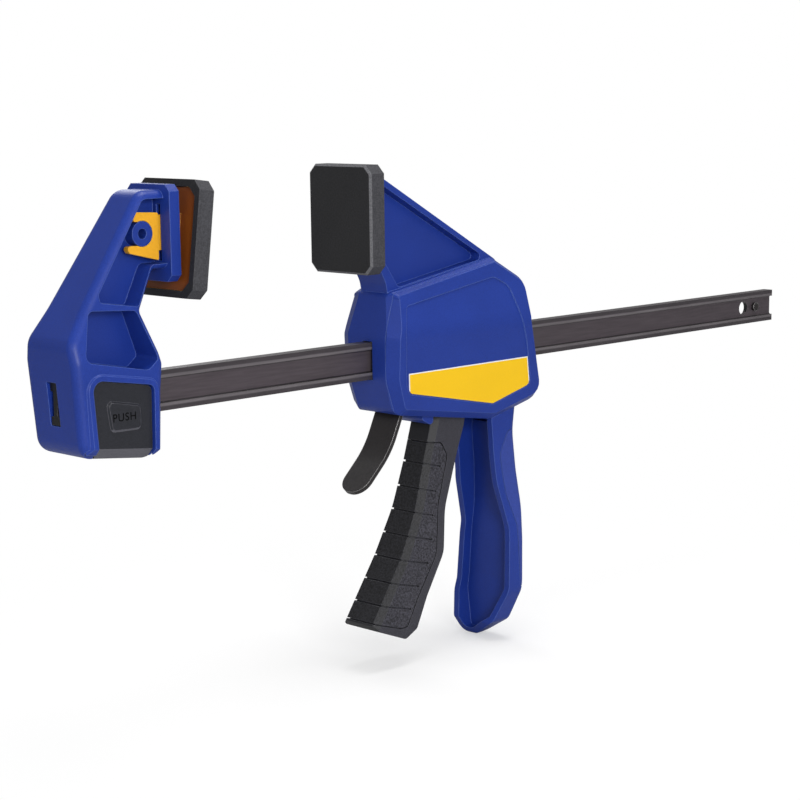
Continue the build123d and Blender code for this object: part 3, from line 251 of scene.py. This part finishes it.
def moulded(
    name, colour, edge_highlight, roughness,
    pits=2.2, depth=0.05, radius=0.4, drift=0.05, highlight_strength=0.5, gloss=0.3, flecks=0.12,
):
    """Moulded plastic or rubber. Pits are per mm, their depth and the edges' radius are in mm."""
    material, tree, output = new_material(name)
    shader = put(tree, "BsdfPrincipled", {"Specular IOR Level": gloss})
    texture = put(tree, "Group", {"Pits per mm": pits, "Drift": drift}, node_tree=grain)
    height = texture.outputs["Height"]
    fleck = ramp(tree, height, FLECK_SPAN, 1 - flecks, 1 + flecks)
    tone = maths(tree, "MULTIPLY", fleck, texture.outputs["Tone"])
    normal = highlight_edges(tree, shader, colour, tone, edge_highlight, radius, highlight_strength)
    smoothest = roughness - MOULD_GLOSS_SPREAD
    roughest = roughness + MOULD_GLOSS_SPREAD
    follow_grain(tree, shader, height, smoothest, roughest, MOULD_BUMP, depth * MM, normal)
    tree.links.new(shader.outputs["BSDF"], output.inputs["Surface"])
    return material


def finish_nodes(material, *names):
    """Gives CAD nodes this material in all their slots."""
    for name in names:
        for slot in nodes[name].material_slots:
            slot.material = material


BLUE = (0.012, 0.038, 0.27)
# the paler edge colour below is a painted highlight
BLUE_EDGE_HIGHLIGHT = (0.10, 0.17, 0.52)
blue_nylon = moulded(
    "blue_nylon", BLUE, BLUE_EDGE_HIGHLIGHT, roughness=0.40, pits=2.0, depth=0.07, radius=0.5, highlight_strength=0.8
)
finish_nodes(blue_nylon, "front_jaw", "body_housing", "side_cover")

# ---------------------------------------------------------------- handle back panel
# Softer blue elastomer with four finger ribs, moulded over the handle's back.
# It is a little paler and duller than the nylon around it.

BLUE_SOFT = (0.03, 0.057, 0.3)
blue_soft = moulded("blue_soft", BLUE_SOFT, BLUE_EDGE_HIGHLIGHT, roughness=0.55, pits=1.6, depth=0.08, radius=0.3)
finish_nodes(blue_soft, "handle_grip")

# ---------------------------------------------------------------- pads
# Soft charcoal rubber pads, moulded hollow and pressed on: one over the moving jaw's
# plate, one over the carrier's plate. Their broad faces get a painted shade, darker than
# their sides, and the bevel around each face a painted highlight.

# painted shade on the faces, the sides' plain colour, and a painted highlight on the bevel
PAD_FACE_SHADE = (0.022, 0.022, 0.024)
PAD_SIDE = (0.050, 0.050, 0.057)
PAD_EDGE_HIGHLIGHT = (0.12, 0.12, 0.13)
FACE_LEAN = 0.95                       # the flat face and back look along the bar at least this much
EDGE_LEAN = 0.5                        # the bevel around the face looks half that way
LEAN_BLUR = 0.1


def between(tree, value, low, high, first, second):
    """Eases a colour from first to second while a value goes from low to high."""
    ends = {"Value": value, "From Min": low, "From Max": high}
    ease = put(tree, "MapRange", ends, interpolation_type="SMOOTHSTEP")
    first, second = [(*c, 1) if isinstance(c, tuple) else c for c in (first, second)]
    blend = {"Factor": ease.outputs["Result"], "A": first, "B": second}
    return put(tree, "Mix", blend, data_type="RGBA").outputs["Result"]


def tint_by(material, colour):
    """Puts a colour output in the place of a material's plain colour."""
    tree = material.node_tree
    tree.links.new(colour, tree.nodes["plain_colour"].inputs[0])


def lean(tree, axis):
    """How much a surface looks along an axis of its object."""
    normal = put(tree, "TexCoord").outputs["Normal"]
    return put(tree, "SeparateXYZ", {0: normal}).outputs[axis]


pad_rubber = moulded(
    "pad_rubber", PAD_FACE_SHADE, PAD_EDGE_HIGHLIGHT, roughness=0.68,
    pits=1.4, depth=0.06, radius=0.35, highlight_strength=0.6, flecks=0.3,
)
finish_nodes(pad_rubber, "front_pad", "body_pad")
tree = pad_rubber.node_tree
along_bar = maths(tree, "ABSOLUTE", lean(tree, "X"))
bevel = between(tree, along_bar, EDGE_LEAN - LEAN_BLUR, EDGE_LEAN + LEAN_BLUR, PAD_SIDE, PAD_EDGE_HIGHLIGHT)
tint_by(pad_rubber, between(tree, along_bar, FACE_LEAN - LEAN_BLUR, FACE_LEAN, bevel, PAD_FACE_SHADE))

# ---------------------------------------------------------------- pad carrier
# Amber acetal clip, moulded in one: two C-hooks snap over the jaw's boss, and the plate
# sits in the pad's back. The plate is given a painted shade, a browner amber than the
# hooks, for the pad's shadow over it.

AMBER = (0.85, 0.41, 0.02)
# the paler edge colour below is a painted highlight
AMBER_EDGE_HIGHLIGHT = (0.95, 0.6, 0.1)
AMBER_SHADE = (0.24, 0.062, 0.010)     # painted shade on the plate, which lies in the pad's shadow
PLATE_START = 18.5 * MM                # in front of the boss, along the tilted pad's axis
PLATE_BLUR = 1 * MM
BOSS_PLACE = (-121.6 * MM, 0, 0.5 * MM)
PAD_TILT = radians(7.3)
PAD_AXIS = (cos(PAD_TILT), 0, -sin(PAD_TILT))


def distance_along(tree, start, direction):
    """How far the surface lies from a point, measured along a direction."""
    place = put(tree, "TexCoord").outputs["Object"]
    offset = put(tree, "VectorMath", {0: place, 1: start}, operation="SUBTRACT").outputs["Vector"]
    return put(tree, "VectorMath", {0: offset, 1: direction}, operation="DOT_PRODUCT").outputs["Value"]


amber = moulded(
    "amber_acetal", AMBER, AMBER_EDGE_HIGHLIGHT, roughness=0.36, pits=1.0, depth=0.01, radius=0.3, flecks=0.03
)
finish_nodes(amber, "front_pad_carrier")
tree = amber.node_tree
ahead = distance_along(tree, BOSS_PLACE, PAD_AXIS)
tint_by(amber, between(tree, ahead, PLATE_START - PLATE_BLUR, PLATE_START, AMBER, AMBER_SHADE))

# ---------------------------------------------------------------- button
# Dark grey moulding with a raised thumb pad, sprung in the fixed jaw. Pressed in, it
# draws the latch pin out of the bar's hole. The word for what to do is printed on it.

BUTTON_GREY = (0.019, 0.020, 0.026)
# the paler edge colour below is a painted highlight
BUTTON_EDGE_HIGHLIGHT = (0.20, 0.20, 0.23)
BUTTON_UNDER_HIGHLIGHT = (0.10, 0.10, 0.12)      # painted highlight on the bevel along the button's lower edge
UNDER_LEAN = (-0.6, -0.3)              # from looking down to looking aside
button_grey = moulded(
    "button_grey", BUTTON_GREY, BUTTON_EDGE_HIGHLIGHT, roughness=0.42,
    pits=2.4, depth=0.03, radius=0.35, highlight_strength=0.8, flecks=0.25,
)
finish_nodes(button_grey, "release_button")
tree = button_grey.node_tree
tint_by(button_grey, between(tree, lean(tree, "Z"), *UNDER_LEAN, BUTTON_UNDER_HIGHLIGHT, BUTTON_GREY))

LETTER_HEIGHT = 3.3 * MM
LETTER_RISE = 0.04 * MM
LETTER_SPACING = 1.12
LETTER_WEIGHT = 0.006                  # strokes grow by this share of the type size
CAPITAL_SHARE = 0.69                   # height of a capital in the type size
WORD_PLACE = (-0.1410, -0.0743)        # along the bar, height
WORD_BLACK = (0.002, 0.002, 0.002)
# the paler edge colour below is a painted highlight
WORD_EDGE_HIGHLIGHT = (0.01, 0.01, 0.01)
pad_front = min(v.co.y for v in nodes["release_button"].data.vertices)

word = bpy.data.curves.new("push_word", "FONT")
word.body = "PUSH"
word.size = LETTER_HEIGHT / CAPITAL_SHARE
word.space_character = LETTER_SPACING
word.align_x = "CENTER"
word.align_y = "CENTER"
word.offset = LETTER_WEIGHT * word.size
word.extrude = LETTER_RISE
word_curve = bpy.data.objects.new("push_word", word)
word_mesh = bpy.data.meshes.new_from_object(word_curve)
bpy.data.objects.remove(word_curve)
upright = Matrix.Rotation(radians(90), 4, "X")
word_mesh.transform(Matrix.Translation((WORD_PLACE[0], pad_front, WORD_PLACE[1])) @ upright)
push_word = bpy.data.objects.new("push_word", word_mesh)
scene.collection.objects.link(push_word)
word_black = moulded(
    "word_black", WORD_BLACK, WORD_EDGE_HIGHLIGHT, roughness=0.7, depth=0.02, radius=0.05, gloss=0.05
)
word_mesh.materials.append(word_black)
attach(push_word, "button")

# ---------------------------------------------------------------- trigger
# Stiff black nylon lever on a steel pin, with a grained rubber grip moulded over its
# front. Both get a painted shade where they look towards the fixed jaw, darker than on their sides.

TRIGGER_SIDE = (0.042, 0.041, 0.052)
TRIGGER_FRONT_SHADE = (0.015, 0.015, 0.018)
# the paler edge colours below are a painted highlight
TRIGGER_EDGE_HIGHLIGHT = (0.12, 0.12, 0.14)
GRIP_EDGE_HIGHLIGHT = (0.13, 0.13, 0.15)
FRONT_LEAN = (-0.6, -0.1)              # from looking at the fixed jaw to looking aside
trigger_nylon = moulded(
    "trigger_nylon", TRIGGER_SIDE, TRIGGER_EDGE_HIGHLIGHT, roughness=0.42, pits=2.0, depth=0.04, flecks=0.3
)
grip_rubber = moulded(
    "grip_rubber", TRIGGER_SIDE, GRIP_EDGE_HIGHLIGHT, roughness=0.46, pits=1.1, depth=0.3, flecks=0.7
)
finish_nodes(trigger_nylon, "trigger")
finish_nodes(grip_rubber, "trigger_grip")
for finish in (trigger_nylon, grip_rubber):
    tree = finish.node_tree
    tint_by(finish, between(tree, lean(tree, "X"), *FRONT_LEAN, TRIGGER_FRONT_SHADE, TRIGGER_SIDE))

# ---------------------------------------------------------------- bar and steel parts
# Cold-rolled I-section bar, bronze-black, with fine streaks along its length. Its staked
# stop pin and the bent release lever are blackened, the steel parts inside are bright.

STREAK_NOISE = {"Scale": 900.0, "Detail": 3.0}
STREAK_TONES = (0.85, 1.15)
STEEL_SMOOTHER = 0.05
STEEL_ROUGHER = 0.07
STEEL_BUMP = 0.4
STREAK_DEPTH = 0.02 * MM


def steel(name, colour, edge_highlight, roughness, metallic, stretch=(1, 1, 1), radius=0.3, highlight_strength=0.5):
    """Steel with a fine grain stretched along its rolling direction and a painted highlight along its
    edges.
    """
    material, tree, output = new_material(name)
    shader = put(tree, "BsdfPrincipled", {"Metallic": metallic})
    place = put(tree, "TexCoord").outputs["Object"]
    along = put(tree, "Mapping", {"Vector": place, "Scale": stretch}).outputs["Vector"]
    streaks = put(tree, "TexNoise", {"Vector": along, **STREAK_NOISE}).outputs["Fac"]
    tone = ramp(tree, streaks, NOISE_SPAN, *STREAK_TONES)
    normal = highlight_edges(tree, shader, colour, tone, edge_highlight, radius, highlight_strength)
    smoothest = roughness - STEEL_SMOOTHER
    roughest = roughness + STEEL_ROUGHER
    follow_grain(tree, shader, streaks, smoothest, roughest, STEEL_BUMP, STREAK_DEPTH, normal)
    tree.links.new(shader.outputs["BSDF"], output.inputs["Surface"])
    return material


BAR_STEEL = (0.078, 0.063, 0.073)
# the paler edge colour below is a painted highlight
BAR_EDGE_HIGHLIGHT = (0.30, 0.28, 0.28)
BAR_CUT_SHADE = (0.006, 0.006, 0.007)        # painted shade on faces towards the fixed jaw, such as the holes' walls
BAR_LIP_HIGHLIGHT = (0.150, 0.135, 0.145)        # painted highlight on the inner edge of each flange
BAR_FLANGE = (0.052, 0.044, 0.050)
BAR_ROOT_SHADE = (0.018, 0.015, 0.017)       # painted shade in the corner between web and flange
BAR_STRETCH = (0.06, 1, 1)             # streaks run along the bar
BAR_CENTRE = (0, 0, -68 * MM)
ROOT_START = 4.7 * MM                  # heights from the bar's centre line
ROOT_MIDDLE = 5.3 * MM
LIP_START = 5.8 * MM
LIP_END = 6.5 * MM
FLANGE_START = 7.2 * MM
CUT_LEAN = (-0.9, -0.6)                # from looking along the bar to looking aside
bar_black = steel(
    "bar_black", BAR_STEEL, BAR_EDGE_HIGHLIGHT, roughness=0.40, metallic=0.25, stretch=BAR_STRETCH, highlight_strength=0.3
)
finish_nodes(bar_black, "bar")
tree = bar_black.node_tree
height = maths(tree, "ABSOLUTE", distance_along(tree, BAR_CENTRE, (0, 0, 1)))
web = between(tree, height, ROOT_START, ROOT_MIDDLE, BAR_STEEL, BAR_ROOT_SHADE)
lip = between(tree, height, ROOT_MIDDLE, LIP_START, web, BAR_LIP_HIGHLIGHT)
rolled = between(tree, height, LIP_END, FLANGE_START, lip, BAR_FLANGE)
tint_by(bar_black, between(tree, lean(tree, "X"), *CUT_LEAN, BAR_CUT_SHADE, rolled))

LEVER_BLACK = (0.024, 0.021, 0.022)
# the paler edge colour below is a painted highlight
LEVER_EDGE_HIGHLIGHT = (0.34, 0.33, 0.33)
lever_black = steel(
    "lever_black", LEVER_BLACK, LEVER_EDGE_HIGHLIGHT, roughness=0.36, metallic=0.3, radius=0.6, highlight_strength=0.9
)
finish_nodes(lever_black, "brake_lever", "bar_stop")

BRIGHT = (0.55, 0.55, 0.56)
# the paler edge colour below is a painted highlight
BRIGHT_EDGE_HIGHLIGHT = (0.7, 0.7, 0.7)
bright_steel = steel("bright_steel", BRIGHT, BRIGHT_EDGE_HIGHLIGHT, roughness=0.3, metallic=1.0)
finish_nodes(bright_steel, "latch_pin", "trigger_pin", "button_spring", "drive_spring")
finish_nodes(bright_steel, "brake_spring", "drive_plate_front", "drive_plate_rear")

# ---------------------------------------------------------------- labels
# Printed film, plain yellow, stuck in the panel recess of both flanks. A thin white edge
# runs along its top and its two ends.

LABEL_YELLOW = (0.93, 0.56, 0.006)
# the paler edge colour below is a painted highlight
LABEL_EDGE_HIGHLIGHT = (0.95, 0.7, 0.2)
LABEL_WHITE = (0.86, 0.87, 0.88)
BORDER = 0.45 * MM
BORDER_BLUR = 0.12 * MM
# edges with a border, as (x, height above the bar) pairs in millimetres
BORDER_EDGES = [
    ((110.9, -5.9), (26.2, -5.9)),
    ((26.2, -5.9), (26.8, -15.4)),
    ((113.2, -20.2), (110.9, -5.9)),
]
label_yellow = moulded(
    "label_yellow", LABEL_YELLOW, LABEL_EDGE_HIGHLIGHT, roughness=0.4,
    depth=0.005, radius=0.1, drift=0.01, flecks=0.02,
)
finish_nodes(label_yellow, "label_near", "label_far")
tree = label_yellow.node_tree
film = LABEL_YELLOW
for ends in BORDER_EDGES:
    first, last = [Vector((x * MM, 0, BAR_CENTRE[2] + height * MM)) for x, height in ends]
    inwards = (last - first).normalized().cross(Vector((0, 1, 0)))
    inset = distance_along(tree, first, inwards)
    film = between(tree, inset, BORDER, BORDER + BORDER_BLUR, LABEL_WHITE, film)
tint_by(label_yellow, film)
